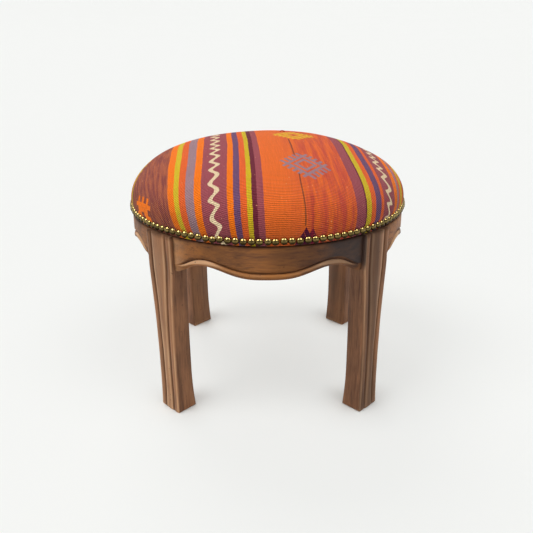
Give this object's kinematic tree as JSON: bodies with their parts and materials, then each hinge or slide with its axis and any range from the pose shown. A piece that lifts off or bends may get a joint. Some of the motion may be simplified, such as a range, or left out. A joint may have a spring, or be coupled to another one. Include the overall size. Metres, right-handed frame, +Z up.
{
  "type": "round upholstered stool",
  "caption": "Low round stool with a domed seat in a striped flat-woven kilim cover, a ring of brass nails, serpentine beaded aprons and tapered moulded legs.",
  "frame": {"origin": "on the floor, under the middle of the seat", "axes": "+Z up, the front apron towards -Y, +X to the right seen from the front"},
  "size_m": [0.4518, 0.452, 0.4134],
  "materials": {
    "show_wood": "brown-stained hardwood under a satin varnish",
    "inner_wood": "bare sawn hardwood",
    "screw_steel": "zinc plated",
    "plywood": "bare plywood",
    "foam": "open-cell seat foam",
    "wadding": "soft polyester wadding",
    "kilim": "flat-woven wool in orange, plum, purple and yellow stripes, with antique brass nail heads"
  },
  "bodies": {
    "root": {"leg_front_left": "show_wood", "leg_front_right": "show_wood", "leg_rear_left": "show_wood", "leg_rear_right": "show_wood", "apron_front": "show_wood", "apron_left": "show_wood", "apron_rear": "show_wood", "apron_right": "show_wood", "corner_block_front_left": "inner_wood", "corner_block_front_right": "inner_wood", "corner_block_rear_left": "inner_wood", "corner_block_rear_right": "inner_wood", "block_screw_front_left_a": "screw_steel", "block_screw_front_left_b": "screw_steel", "block_screw_front_right_a": "screw_steel", "block_screw_front_right_b": "screw_steel", "block_screw_rear_left_a": "screw_steel", "block_screw_rear_left_b": "screw_steel", "block_screw_rear_right_a": "screw_steel", "block_screw_rear_right_b": "screw_steel", "board_screw_front_left": "screw_steel", "board_screw_front_right": "screw_steel", "board_screw_rear_left": "screw_steel", "board_screw_rear_right": "screw_steel", "seat_board": "plywood", "foam_pad": "foam", "wadding": "wadding", "kilim_cover": "kilim"}
  },
  "joints": []
}
